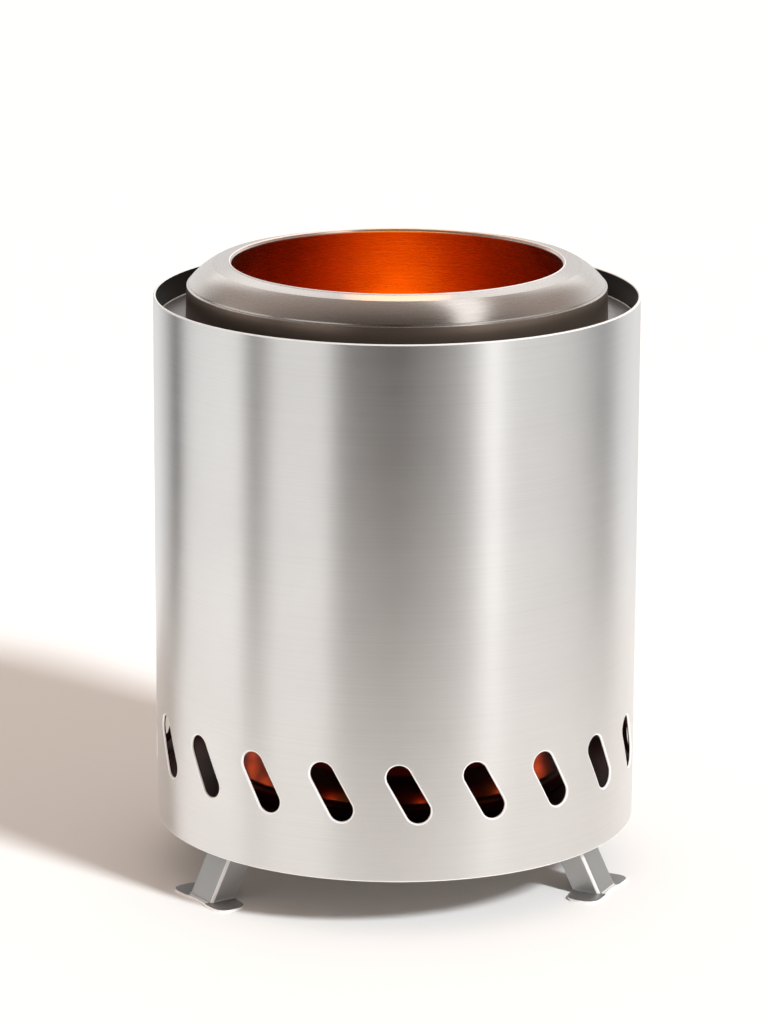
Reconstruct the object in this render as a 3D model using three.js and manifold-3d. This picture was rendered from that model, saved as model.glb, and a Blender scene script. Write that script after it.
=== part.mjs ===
// A portable wood stove: a slotted double-wall steel drum on three folding legs,
// with a lift-off flame ring, a drop-in ash pan and a perforated fuel grate.
// Millimetres, +Z up. The origin is on the ground under the drum's axis, and -Y is the front.
import * as THREE from 'three';
import { mergeVertices } from 'three/addons/utils/BufferGeometryUtils.js';
import Module from 'manifold-3d';

const wasm = await Module();
wasm.setup();

// Drum
const drumDiameter = 178;
const drumHeight = 196.5;
const drumClearance = 21; // from the ground to the drum's bottom edge
const drumSheet = 1;

// Air slots around the drum's foot
const slotCount = 20;
const slotWidth = 9;
const slotLength = 23.4;
const slotCentreHeight = 32.7; // above the drum's bottom edge
const slotLean = 29; // degrees from upright, the top to the left
const firstSlotAzimuth = 3.1; // degrees from the front, towards +X

// Base plate, recessed so that the legs fold away under it
const baseRecess = 14;
const baseSheet = 1;
const baseRimDepth = 10;

// Heat shield, a tray that stands on the base plate over the bracket rivets
const shieldMargin = 1.3; // from the outer rivets' heads to the shield's side
const shieldHeight = 6;
const shieldSheet = 1;

// Burn chamber, hung from its own top flange
const airGap = 21; // between the chamber's wall and the drum's
const chamberSheet = 1;
const gutterDepth = 8.7; // from the drum's rim down to the flange
const flangeLipDepth = 8;
const jetCount = 24; // secondary air holes
const jetRadius = 3;
const jetDrop = 24.5; // from the flange down to the holes' centres

// Ash pan, which hangs in the hole of the chamber's floor ring
const panClearance = 4; // from the heat shield up to the pan's floor
const panDepth = 15;
const panSeat = 3.5; // of its flange on the floor ring
const panPlay = 2.5; // between the pan and the floor ring's hole
const panTaper = 3;
const panSheet = 1;
const panVentCount = 16;
const panVentRadius = 3;
const panVentDrop = 6;

// Fuel grate, which lies on the ash pan's flange
const grateSheet = 1.5;
const grateRimHeight = 5;
const grateHoleRadius = 3.5;
const grateHolePitch = 13;
const grateMargin = 5; // from the holes to the grate's edge, at least

// Flame ring, which stands on the chamber's flange inside the drum's rim
const ringSheet = 1.2;
const ringOverhang = 5.6; // of the ring's hole inside the chamber's wall
const ringRise = 11.9; // of the hole's edge above the drum's rim
const ringLipRound = 0.8;
const ringFlatWidth = 6.3;
const ringFlatFall = 1;
const bevelFootRise = 4.2;
const bevelSwell = 1.2; // of the bevel's control point outside a straight cone
const joggleDrop = 0.6;
const joggleStep = 0.5;
const gutterWidth = 11.5; // between the skirt and the drum
const skirtSpread = 0.4; // how far the skirt flares on its way down
const collarReach = 10; // of the collar below the chamber's flange
const collarPlay = 0.5; // between the collar's foot and the chamber's mouth
const liftPlay = 6.4; // around the ash pan and the grate when they lift out through the ring

// Folding legs of channel section
const legCount = 3;
const firstLegAzimuth = 64.9; // degrees from the front, towards +X
const legLean = 26.5; // degrees outwards from upright
const legWidth = 14.4;
const legDepth = 9.5;
const legSheet = 1;
const footInset = 1.7; // of the foot's outer face inside the drum's
const camRadius = 6.7; // of the leg's rounded end about its hinge
const earLength = 9.6;
const earRound = 3.6;
const footLip = 1.6;
const footLipWaist = 0.5;

// Leg brackets, hinge pins and bracket rivets
const bracketSheet = 1.2;
const bracketTab = 17; // from the lugs inwards
const wallFoot = 1; // height of the bracket's stop wall above the hinge
const pinRadius = 1.5;
const pinHeadRadius = 2.6;
const pinHeadHeight = 0.8;
const rivetCount = 2; // for each bracket
const rivetRadius = 1.5;
const rivetHeadRadius = 2.7;
const rivetHeadHeight = 1;

// Clearances
const seatGap = 0.3; // between pieces that rest on or beside each other
const bore = 0.3; // around a pin or rivet in its hole
const overrun = 2; // of every cutting tool past what it cuts

// Facets
const drumFacets = 72;
const panFacets = 40;
const slotArcFacets = 5;
const ringFacets = 56;
const jetFacets = 8;
const ventFacets = 8;
const grateHoleFacets = 8;
const bevelFacets = 4;
const hingeFacets = 10;
const rivetFacets = 8;

const degree = Math.PI / 180;
const turn = 2 * Math.PI;

// Places that follow from the sizes above
const drumRadius = drumDiameter / 2;
const drumBore = drumRadius - drumSheet;
const rimHeight = drumClearance + drumHeight;
const flangeHeight = rimHeight - gutterDepth; // upper face of the chamber's flange
const baseUnderside = drumClearance + baseRecess;
const baseTop = baseUnderside + baseSheet;
const shieldFoot = baseTop + seatGap;
const panFloorHeight = shieldFoot + shieldHeight + panClearance;
const panFlangeHeight = panFloorHeight + panDepth; // underside of the pan's flange
const floorHeight = panFlangeHeight - seatGap; // upper face of the chamber's floor ring
const grateHeight = panFlangeHeight + panSheet + seatGap; // underside of the grate
const chamberRadius = drumBore - airGap - chamberSheet; // inside
const ringHoleRadius = chamberRadius - ringOverhang;
const skirtRadius = drumBore - gutterWidth;
const bevelFootRadius = skirtRadius - joggleStep;
const grateRadius = ringHoleRadius - liftPlay;
const panFlangeRadius = grateRadius;
const floorHoleRadius = panFlangeRadius - panSeat;
const panTopRadius = floorHoleRadius - panPlay;
const panFloorRadius = panTopRadius - panTaper;
const legFootRadius = drumRadius - footInset;

// Leg geometry in the plane of its fold: x runs outwards from the drum's axis, y is height
const leanSine = Math.sin(legLean * degree);
const leanCosine = Math.cos(legLean * degree);
const pivotHeight = baseUnderside - seatGap - camRadius;
const pivotAlong = (pivotHeight + (legDepth / 2) * leanSine) / leanCosine;
const legPivot = alongLeg(pivotAlong, legDepth / 2);
const lugRadius = legDepth / 2 - legSheet - seatGap;
const lugSpan = legWidth - 2 * (legSheet + seatGap);
const tabEnd = legPivot.x - lugRadius - bracketTab;

// A point of the leg's side view, so far up its outer face and so far in behind that face
function alongLeg(distance, inset) {
  const x = legFootRadius - distance * leanSine - inset * leanCosine;
  const y = distance * leanCosine - inset * leanSine;
  return new THREE.Vector2(x, y);
}

// How far up the leg's outer face a line at that inset reaches the given height
function reachTo(height, inset) {
  return (height + inset * leanSine) / leanCosine;
}

// Turns a closed geometry into a solid for cutting and joining
function solid(geometry) {
  const bare = geometry.clone();
  bare.deleteAttribute('normal');
  bare.deleteAttribute('uv');
  const merged = mergeVertices(bare);
  const corners = merged.index.array;
  const triangles = [];
  for (let i = 0; i < corners.length; i += 3) {
    const [a, b, c] = [corners[i], corners[i + 1], corners[i + 2]];
    if (a !== b && b !== c && c !== a) triangles.push(a, b, c);
  }
  const mesh = new wasm.Mesh({
    numProp: 3,
    vertProperties: new Float32Array(merged.attributes.position.array),
    triVerts: new Uint32Array(triangles),
  });
  return new wasm.Manifold(mesh);
}

// Turns a solid back into a flat-shaded geometry
function geometryOf(body) {
  const mesh = body.getMesh();
  const geometry = new THREE.BufferGeometry();
  geometry.setAttribute('position', new THREE.BufferAttribute(mesh.vertProperties, mesh.numProp));
  geometry.setIndex(new THREE.BufferAttribute(mesh.triVerts, 1));
  const faceted = geometry.toNonIndexed();
  faceted.computeVertexNormals();
  return faceted;
}

// Revolves a closed outline of radius and height about the vertical axis
function revolve(outline, facets) {
  const closed = [...outline, outline[0].clone()];
  return solid(new THREE.LatheGeometry(closed, facets).rotateX(Math.PI / 2));
}

// The closed outline of bent sheet: the path is one face, and the metal lies to its left
function sheetOutline(path, sheet) {
  const lefts = [];
  for (let i = 0; i + 1 < path.length; i += 1) {
    const along = path[i + 1].clone().sub(path[i]).normalize();
    lefts.push(new THREE.Vector2(-along.y, along.x));
  }
  const other = path.map((point, i) => {
    const before = lefts[Math.max(i - 1, 0)];
    const after = lefts[Math.min(i, lefts.length - 1)];
    const mitre = before.clone().add(after);
    return point.clone().addScaledVector(mitre, sheet / (1 + before.dot(after)));
  });
  return [...path, ...other.reverse()];
}

// Extrudes a side view across the leg, centred on its middle plane
function acrossLeg(points, width) {
  const options = { depth: width, bevelEnabled: false };
  const slab = new THREE.ExtrudeGeometry(new THREE.Shape(points), options);
  return solid(slab.translate(0, 0, -width / 2).rotateX(Math.PI / 2));
}

// A round cutting tool or pin along Z, centred on the origin
function rod(radius, length, facets) {
  return solid(new THREE.CylinderGeometry(radius, radius, length, facets).rotateX(Math.PI / 2));
}

// Copies a tool around the drum's axis and joins the copies
function ringOf(tool, count, firstAngle) {
  const copies = [];
  for (let i = 0; i < count; i += 1) {
    copies.push(tool.rotate([0, 0, firstAngle + (i * 360) / count]));
  }
  return wasm.Manifold.union(copies);
}

function point(x, y) {
  return new THREE.Vector2(x, y);
}

function steel(colour, roughness) {
  return new THREE.MeshStandardMaterial({ color: colour, metalness: 1, roughness });
}

const brushedSteel = steel(0xc9c8c5, 0.34);
const ringSteel = steel(0x9d928a, 0.3);
const heatedSteel = steel(0x5a2a18, 0.5);
const legSteel = steel(0x9a9997, 0.38);
const plainSteel = steel(0x8d8b88, 0.45);

function part(name, body, material) {
  const mesh = new THREE.Mesh(geometryOf(body), material);
  mesh.name = name;
  return mesh;
}

// A slanted round-ended slot cut outwards through a wall of the given radius
function slotTool(radius) {
  const halfRun = (slotLength - slotWidth) / 2;
  const outline = new THREE.Shape();
  outline.absarc(0, halfRun, slotWidth / 2, 0, Math.PI);
  outline.absarc(0, -halfRun, slotWidth / 2, Math.PI, turn);
  const depth = drumSheet + 2 * overrun;
  const options = { depth, bevelEnabled: false, curveSegments: slotArcFacets };
  const slug = new THREE.ExtrudeGeometry(outline, options).rotateZ(slotLean * degree);
  const outwards = new THREE.Matrix4().makeBasis(
    new THREE.Vector3(0, 1, 0),
    new THREE.Vector3(0, 0, 1),
    new THREE.Vector3(1, 0, 0),
  );
  slug.applyMatrix4(outwards);
  slug.translate(radius - drumSheet - overrun, 0, drumClearance + slotCentreHeight);
  return solid(slug);
}

function outerShell() {
  const path = [point(drumRadius, drumClearance), point(drumRadius, rimHeight)];
  const wall = revolve(sheetOutline(path, drumSheet), drumFacets);
  return wall.subtract(ringOf(slotTool(drumRadius), slotCount, firstSlotAzimuth - 90));
}

// Where the rivets of one bracket stand, counted inwards from its lugs
function rivetPlaces() {
  const pitch = bracketTab / rivetCount;
  const places = [];
  for (let i = 0; i < rivetCount; i += 1) {
    places.push(legPivot.x - lugRadius - (i + 0.5) * pitch);
  }
  return places;
}

function rivetHoles() {
  const drill = rod(rivetRadius + bore, 2 * (bracketSheet + baseSheet) + overrun, rivetFacets);
  return wasm.Manifold.union(rivetPlaces().map((x) => drill.translate([x, 0, baseUnderside])));
}

function basePlate() {
  const rim = drumBore - seatGap;
  const path = [
    point(0, baseUnderside),
    point(rim - baseSheet, baseUnderside),
    point(rim - baseSheet, baseTop - baseRimDepth),
  ];
  const plate = revolve(sheetOutline(path, baseSheet), drumFacets);
  return plate.subtract(ringOf(rivetHoles(), legCount, firstLegAzimuth - 90));
}

function heatShield() {
  const inside = rivetPlaces()[0] + rivetHeadRadius + shieldMargin;
  const underside = shieldFoot + shieldHeight - shieldSheet;
  const path = [point(0, underside), point(inside, underside), point(inside, shieldFoot)];
  return revolve(sheetOutline(path, shieldSheet), panFacets);
}

function burnChamber() {
  const outside = chamberRadius + chamberSheet;
  const underside = flangeHeight - chamberSheet;
  const lip = drumBore - seatGap - chamberSheet;
  const path = [
    point(outside, floorHeight - chamberSheet),
    point(outside, underside),
    point(lip, underside),
    point(lip, flangeHeight - flangeLipDepth),
  ];
  const can = revolve(sheetOutline(path, chamberSheet), drumFacets);
  const drill = rod(jetRadius, chamberSheet + 2 * overrun, jetFacets).rotate([0, 90, 0]);
  const jet = drill.translate([chamberRadius, 0, flangeHeight - jetDrop]);
  return can.subtract(ringOf(jet, jetCount, 180 / jetCount));
}

// The flat ring inside the foot of the chamber's wall
function chamberFloor() {
  const underside = floorHeight - chamberSheet;
  const path = [point(floorHoleRadius, underside), point(chamberRadius - seatGap, underside)];
  return revolve(sheetOutline(path, chamberSheet), panFacets);
}

function ashPan() {
  const path = [
    point(0, panFloorHeight),
    point(panFloorRadius, panFloorHeight),
    point(panTopRadius, panFlangeHeight),
    point(panFlangeRadius, panFlangeHeight),
  ];
  const pan = revolve(sheetOutline(path, panSheet), panFacets);
  const drill = rod(panVentRadius, panTopRadius - panFloorRadius + 2 * overrun, ventFacets);
  const vent = drill.rotate([0, 90, 0]).translate([panTopRadius, 0, panFlangeHeight - panVentDrop]);
  return pan.subtract(ringOf(vent, panVentCount, 0));
}

function fuelGrate() {
  const path = [
    point(0, grateHeight),
    point(grateRadius, grateHeight),
    point(grateRadius, grateHeight + grateRimHeight),
  ];
  const disc = revolve(sheetOutline(path, grateSheet), panFacets);
  const drill = rod(grateHoleRadius, 2 * (grateSheet + overrun), grateHoleFacets);
  const holes = [drill];
  const outermost = grateRadius - grateMargin - grateHoleRadius;
  for (let ring = 1; ring * grateHolePitch <= outermost; ring += 1) {
    const hole = drill.translate([ring * grateHolePitch, 0, 0]);
    holes.push(ringOf(hole, 6 * ring, 0));
  }
  return disc.subtract(wasm.Manifold.union(holes).translate([0, 0, grateHeight]));
}

// The ring's visible face, from the skirt's foot over the bevel and down inside the collar
function flameRing() {
  const shoulder = bevelFootRise - joggleDrop;
  const skirtTop = shoulder - joggleStep;
  const flatEdge = point(ringHoleRadius + ringLipRound + ringFlatWidth, rimHeight + ringRise - ringFlatFall);
  const bevelFoot = point(bevelFootRadius, rimHeight + bevelFootRise);
  const chord = flatEdge.clone().sub(bevelFoot).normalize();
  const bulge = bevelFoot.clone().lerp(flatEdge, 0.5).add(point(chord.y, -chord.x).multiplyScalar(bevelSwell));
  const bevel = new THREE.QuadraticBezierCurve(bevelFoot, bulge, flatEdge).getPoints(bevelFacets);
  const collarFoot = chamberRadius - collarPlay - ringSheet;
  const path = [
    point(skirtRadius + skirtSpread, flangeHeight + seatGap),
    point(skirtRadius, rimHeight + skirtTop),
    point(bevelFootRadius, rimHeight + shoulder),
    ...bevel,
    point(ringHoleRadius + ringLipRound, rimHeight + ringRise),
    point(ringHoleRadius, rimHeight + ringRise - ringLipRound),
    point(collarFoot, flangeHeight - collarReach),
  ];
  return revolve(sheetOutline(path, ringSheet), ringFacets);
}

// The channel of a leg: its web faces outwards and its flanges point inwards
function legChannel() {
  const rootRadius = Math.acos(legDepth / 2 / camRadius);
  const camEnd = Math.PI + legLean * degree - rootRadius;
  const cam = new THREE.EllipseCurve(legPivot.x, legPivot.y, camRadius, camRadius, Math.PI / 2, camEnd);
  const webTop = alongLeg(reachTo(pivotHeight + camRadius, 0), 0);
  const open = legDepth + overrun;
  const low = reachTo(-overrun, legSheet);
  const high = reachTo(baseUnderside, open);
  const outside = [
    alongLeg(0, 0),
    webTop,
    ...cam.getPoints(hingeFacets / 2),
    alongLeg(reachTo(0, legDepth), legDepth),
  ];
  const hollow = [
    alongLeg(low, legSheet),
    alongLeg(high, legSheet),
    alongLeg(high, open),
    alongLeg(low, open),
  ];
  const channel = acrossLeg(outside, legWidth);
  return channel.subtract(acrossLeg(hollow, legWidth - 2 * legSheet));
}

// The foot in plan: two rounded ears bent out from the flanges, joined by a waisted lip
function legFoot() {
  const inner = legFootRadius - legDepth / leanCosine;
  const outer = legFootRadius + footLip;
  const tip = legWidth / 2 + earLength;
  const mouth = legWidth / 2 - legSheet;
  const web = legFootRadius - legSheet / leanCosine;
  const plan = new THREE.Shape();
  plan.moveTo(inner, mouth);
  plan.lineTo(inner, tip - earRound);
  plan.absarc(inner + earRound, tip - earRound, earRound, Math.PI, Math.PI / 2, true);
  plan.absarc(outer - earRound, tip - earRound, earRound, Math.PI / 2, 0, true);
  plan.lineTo(outer, legWidth / 2);
  plan.quadraticCurveTo(legFootRadius + footLipWaist, 0, outer, -legWidth / 2);
  plan.absarc(outer - earRound, earRound - tip, earRound, 0, -Math.PI / 2, true);
  plan.absarc(inner + earRound, earRound - tip, earRound, -Math.PI / 2, -Math.PI, true);
  plan.lineTo(inner, -mouth);
  plan.lineTo(web, -mouth);
  plan.lineTo(web, mouth);
  const options = { depth: legSheet, bevelEnabled: false, curveSegments: slotArcFacets };
  return solid(new THREE.ExtrudeGeometry(plan, options));
}

function pinBore(length) {
  const drill = rod(pinRadius + bore, length, hingeFacets).rotate([90, 0, 0]);
  return drill.translate([legPivot.x, 0, legPivot.y]);
}

function leg() {
  return legChannel().add(legFoot()).subtract(pinBore(legWidth + overrun));
}

// A folded bracket: a riveted tab, two lugs that hold the pin, and a wall that stops the leg
function legBracket() {
  const top = baseUnderside - seatGap;
  const front = (height, inset) => {
    const setBack = legDepth / 2 - lugRadius + inset;
    return alongLeg(reachTo(height, setBack), setBack);
  };
  const lugEnd = Math.PI + (Math.PI + legLean * degree);
  const lug = new THREE.EllipseCurve(legPivot.x, legPivot.y, lugRadius, lugRadius, Math.PI, lugEnd);
  const outside = [
    front(top, 0),
    point(tabEnd, top),
    point(tabEnd, top - bracketSheet),
    point(legPivot.x - lugRadius, top - bracketSheet),
    ...lug.getPoints(hingeFacets),
  ];
  const wallTop = front(top - bracketSheet, bracketSheet);
  const wallInner = front(pivotHeight + wallFoot, bracketSheet);
  const below = pivotHeight - lugRadius - overrun;
  const hollow = [
    wallTop,
    point(tabEnd - overrun, wallTop.y),
    point(tabEnd - overrun, below),
    point(wallInner.x + lugRadius + overrun, below),
    point(wallInner.x + lugRadius + overrun, wallInner.y),
    wallInner,
  ];
  const folded = acrossLeg(outside, lugSpan).subtract(acrossLeg(hollow, lugSpan - 2 * bracketSheet));
  return folded.subtract(pinBore(legWidth)).subtract(rivetHoles());
}

// A headed pin or rivet along Z, standing between the two faces that its heads clamp
function headed(shank, head, headHeight, low, high, facets) {
  const crown = head / 2;
  const outline = [
    point(0, low - headHeight),
    point(crown, low - headHeight),
    point(head, low - headHeight / 2),
    point(head, low),
    point(shank, low),
    point(shank, high),
    point(head, high),
    point(head, high + headHeight / 2),
    point(crown, high + headHeight),
    point(0, high + headHeight),
  ];
  return revolve(outline, facets);
}

function hingePin() {
  const half = legWidth / 2 + seatGap;
  return headed(pinRadius, pinHeadRadius, pinHeadHeight, -half, half, hingeFacets);
}

function bracketRivet() {
  const low = -bracketSheet - 2 * seatGap;
  const high = baseSheet + seatGap;
  return headed(rivetRadius, rivetHeadRadius, rivetHeadHeight, low, high, rivetFacets);
}

// One leg with its bracket, hinge pin and rivets, built along +X and turned to its place
function legStation(name, azimuth) {
  const station = new THREE.Group();
  station.rotation.z = (azimuth - 90) * degree;
  station.add(part(`${name}_leg`, leg(), legSteel));
  station.add(part(`${name}_leg_bracket`, legBracket(), plainSteel));
  const pin = part(`${name}_hinge_pin`, hingePin(), plainSteel);
  pin.position.set(legPivot.x, 0, legPivot.y);
  pin.rotation.x = Math.PI / 2;
  station.add(pin);
  rivetPlaces().forEach((x, i) => {
    const rivet = part(`${name}_bracket_rivet_${i + 1}`, bracketRivet(), plainSteel);
    rivet.position.set(x, 0, baseUnderside);
    station.add(rivet);
  });
  return station;
}

const stove = new THREE.Group();
stove.name = 'portable_wood_stove';
stove.add(part('outer_shell', outerShell(), brushedSteel));
stove.add(part('base_plate', basePlate(), plainSteel));
stove.add(part('heat_shield', heatShield(), heatedSteel));
stove.add(part('burn_chamber', burnChamber(), heatedSteel));
stove.add(part('chamber_floor', chamberFloor(), heatedSteel));
stove.add(part('ash_pan', ashPan(), heatedSteel));
stove.add(part('fuel_grate', fuelGrate(), heatedSteel));
stove.add(part('flame_ring', flameRing(), ringSteel));
const legNames = ['front_right', 'rear', 'front_left'];
legNames.forEach((name, i) => {
  stove.add(legStation(name, firstLegAzimuth + (i * 360) / legCount));
});

export default stove;
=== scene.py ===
"""A portable wood stove: fine surfaces over the CAD frame, its steels, a pale studio and the camera.

Sizes are in millimetres until a mesh is finished. The drum's axis is Z, and -Y is the front.
"""
import math

import bmesh
import bpy
from mathutils import Matrix, Vector


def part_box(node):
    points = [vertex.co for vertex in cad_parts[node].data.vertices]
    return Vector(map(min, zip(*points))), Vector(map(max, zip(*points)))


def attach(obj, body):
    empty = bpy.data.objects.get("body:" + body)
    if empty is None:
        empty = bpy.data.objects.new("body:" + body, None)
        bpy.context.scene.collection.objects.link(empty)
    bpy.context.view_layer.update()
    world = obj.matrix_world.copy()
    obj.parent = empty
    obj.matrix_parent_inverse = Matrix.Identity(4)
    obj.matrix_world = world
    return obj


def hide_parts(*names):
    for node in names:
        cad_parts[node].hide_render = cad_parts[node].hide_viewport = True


MM = 0.001
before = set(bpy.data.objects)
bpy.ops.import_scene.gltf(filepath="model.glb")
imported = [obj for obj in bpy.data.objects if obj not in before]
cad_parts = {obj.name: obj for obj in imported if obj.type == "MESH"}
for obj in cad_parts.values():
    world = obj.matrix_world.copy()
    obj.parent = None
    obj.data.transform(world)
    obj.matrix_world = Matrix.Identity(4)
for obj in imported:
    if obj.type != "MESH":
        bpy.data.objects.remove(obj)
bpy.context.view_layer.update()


def node_box(node):
    """The lowest and highest corner of a CAD node, in millimetres."""
    low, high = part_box(node)
    return low / MM, high / MM


# Sizes read from the frame
drum_low, drum_high = node_box("outer_shell")
ring_low, ring_high = node_box("flame_ring")
base_low, base_high = node_box("base_plate")
shield_low, shield_high = node_box("heat_shield")
chamber_low, chamber_high = node_box("burn_chamber")
floor_low, floor_high = node_box("chamber_floor")
pan_low, pan_high = node_box("ash_pan")
grate_low, grate_high = node_box("fuel_grate")
DRUM_RADIUS = drum_high.x
DRUM_FOOT = drum_low.z
RIM = drum_high.z
FLANGE = chamber_high.z
RING_TOP = ring_high.z
BASE_TOP = base_high.z

# Sheets, bends and edges
DRUM_SHEET = 1.0
RING_SHEET = 1.2
GRATE_SHEET = 1.5
SHEET = 1.0
RING_BEND = 0.5
EDGE = 0.3
RIM_EDGE = 0.49
CUT_EDGE = 0.62
BORE_EDGE = 0.1
BEND = 1.5

# Air slots of the drum
SLOT_COUNT = 20
SLOT_RADIUS = 4.5
SLOT_HALF_RUN = 7.2
SLOT_CENTRE = DRUM_FOOT + 32.7
SLOT_LEAN = math.radians(29)
SLOT_FIRST = math.radians(3.1 - 90)

# Burn chamber, floor ring, pan and grate
CHAMBER_BORE = 66.0
FLANGE_LIP = 8.0
FLANGE_BEND = 0.4
WELD_BEAD = 0.3
WELD_SEAT = Vector((0.2, 0.15))
JET_COUNT = 24
JET_RADIUS = 3.0
JET_DROP = 24.5
FLOOR_HOLE = 50.5
PAN_TOP_RADIUS = 48.0
PAN_TAPER = 3.0
VENT_COUNT = 16
VENT_RADIUS = 3.0
VENT_DROP = 6.0
GRATE_HOLE_RADIUS = 3.5
GRATE_PITCH = 13.0
GRATE_RINGS = 3

# Flame ring
RING_HOLE = 60.4
RING_LIP = 0.8
RING_BEAD = 0.27
RING_FLAT = 6.3
RING_FALL = 1.0
BEVEL_FOOT_RADIUS = 76.0
BEVEL_FOOT_RISE = 4.2
BEVEL_SWELL = 1.2
JOGGLE_DROP = 0.6
JOGGLE_STEP = 0.8
TREAD_FALL = 0.12
SKIRT_SPREAD = 0.4
COLLAR_PLAY = 0.5

# Legs
LEG_NAMES = ("front_right", "rear", "front_left")
LEG_FIRST = math.radians(64.9)
LEG_LEAN = math.radians(26.5)
LEG_WIDTH = 14.4
LEG_DEPTH = 9.5
LEG_FOOT_RADIUS = DRUM_RADIUS - 1.7
LEG_BEND = 1.35
FOOT_BEND = 0.8
EAR_LENGTH = 9.6
EAR_ROUND = 4.4
FOOT_LIP = 1.6
FOOT_LIP_WAIST = 0.6
CAM_RADIUS = 6.7
SEAT_GAP = 0.3
PIN_RADIUS = 1.5
PIN_HEAD_RADIUS = 2.6
PIN_HEAD_HEIGHT = 0.8
RIVET_RADIUS = 1.5
RIVET_HEAD_RADIUS = 2.7
RIVET_HEAD_HEIGHT = 1.0
BRACKET_SHEET = 1.2
BRACKET_TAB = 17.0

# Finishes of the drum, the ring and the legs, after their main one: a painted highlight on edges, bends and beads,
# painted shade on the base plate's top and the heat shield, and painted shade inside the drum and on the ring's
# skirt
PAINTED_LIGHT_AND_SHADE = 1
PAINTED_SHADE = 2

# Fineness of the surfaces
WELD = 1e-4
ROUND_STEPS = 4
TURN_STEPS = 240
SMALL_TURN_STEPS = 40
SMOOTH_TURN = math.radians(8)
SHARP_TURN = math.radians(25)
BEVEL_STEPS = 16
FACE_SHARES = (1.0, 0.6, 0.3, 0.12, 0.0)


class Skin:
    """Collects faces whose corners carry exact normals, and joins corners that coincide."""

    def __init__(self):
        self.places = []
        self.normals = []
        self.faces = []
        self.finishes = []
        self.known = {}

    def corner(self, place, normal):
        key = tuple(round(value / WELD) for value in place) + tuple(round(value * 50) for value in normal)
        if key not in self.known:
            self.known[key] = len(self.places)
            self.places.append(Vector(place))
            self.normals.append(Vector(normal).normalized())
        return self.known[key]

    def face(self, corners, finish):
        ring = [c for i, c in enumerate(corners) if c != corners[i - 1]]
        if len(ring) < 3:
            return
        across = self.places[ring[2]] - self.places[ring[0]]
        along = self.places[ring[-1]] - self.places[ring[1]]
        facing = sum((self.normals[c] for c in ring), Vector())
        if across.cross(along).dot(facing) < 0:
            ring.reverse()
        self.faces.append(ring)
        self.finishes.append(finish)

    def grid(self, rows, finish=0):
        """Faces between neighbouring rows of (place, normal) pairs, in one of the piece's finishes."""
        lines = [[self.corner(*pair) for pair in row] for row in rows]
        for upper, lower in zip(lines, lines[1:]):
            for i in range(len(upper) - 1):
                self.face([upper[i], upper[i + 1], lower[i + 1], lower[i]], finish)

    def build(self, name, placing=None):
        mesh = bpy.data.meshes.new(name)
        mesh.from_pydata([place * MM for place in self.places], [], self.faces)
        mesh.shade_smooth()
        mesh.polygons.foreach_set("material_index", self.finishes)
        mesh.normals_split_custom_set_from_vertices(self.normals)
        if placing is not None:
            mesh.transform(placing)
        piece = bpy.data.objects.new(name, mesh)
        bpy.context.scene.collection.objects.link(piece)
        return piece


def rounded(points, radius):
    """The points of an open line with its bends rounded, each with its direction of travel."""
    points = [Vector(p) for p in points]
    line = [(points[0], (points[1] - points[0]).normalized())]
    for before, here, after in zip(points, points[1:], points[2:]):
        arriving = (here - before).normalized()
        leaving = (after - here).normalized()
        turn = arriving.angle_signed(leaving)
        if abs(turn) < SMOOTH_TURN:
            line.append((here, (arriving + leaving).normalized()))
            continue
        room = 0.45 * min((here - before).length, (after - here).length)
        cut = min(radius * math.tan(abs(turn) / 2), room)
        steps = 2 * ROUND_STEPS
        for step in range(steps + 1):
            share = step / steps
            start = here - arriving * cut
            end = here + leaving * cut
            place = start.lerp(here, share).lerp(here.lerp(end, share), share)
            line.append((place, arriving.slerp(leaving, share)))
    line.append((points[-1], (points[-1] - points[-2]).normalized()))
    return line


def left_of(direction):
    return Vector((-direction.y, direction.x))


def bead_outline(centre, radius):
    """The round section of a bead, as places and normals."""
    outline = []
    for step in range(4 * ROUND_STEPS + 1):
        turn = math.tau * step / (4 * ROUND_STEPS)
        normal = Vector((math.cos(turn), math.sin(turn)))
        outline.append((centre + normal * radius, normal))
    return outline


def end_cap(place, direction, thickness, edge):
    """A sheet's cut end, from the side of the line round to the other side, with soft corners."""
    left = left_of(direction)
    cap = []
    for corner, first, second in ((edge, -left, direction), (thickness - edge, direction, left)):
        centre = place - direction * edge + left * corner
        for step in range(ROUND_STEPS + 1):
            normal = first.slerp(second, step / ROUND_STEPS)
            cap.append((centre + normal * edge, normal))
    return cap


def sheet_outline(points, thickness, bend):
    """The closed outline of bent sheet: the line is one face, and the metal lies to its left."""
    line = rounded(points, bend)
    start, start_way = line[0]
    end, end_way = line[-1]
    near = [(place, -left_of(way)) for place, way in line]
    far = [(place + left_of(way) * thickness, left_of(way)) for place, way in reversed(line)]
    outline = near[1:-1] if end.x else near[1:]
    outline = ([] if start.x else near[:1]) + outline
    if end.x:
        outline += end_cap(end, end_way, thickness, EDGE)
        far = far[1:]
    if start.x:
        far = far[:-1]
    outline += far
    if start.x:
        turned = start + left_of(start_way) * thickness
        outline += end_cap(turned, -start_way, thickness, EDGE)
        outline.append(outline[0])
    return outline


def around(radius, height, angle):
    return Vector((radius * math.cos(angle), radius * math.sin(angle), height))


def plain(_place, _normal):
    return 0


# Every face takes the second finish: a painted highlight on the beads, and painted shade on the heat shield
def painted_all_over(_place, _normal):
    return PAINTED_LIGHT_AND_SHADE


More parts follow.
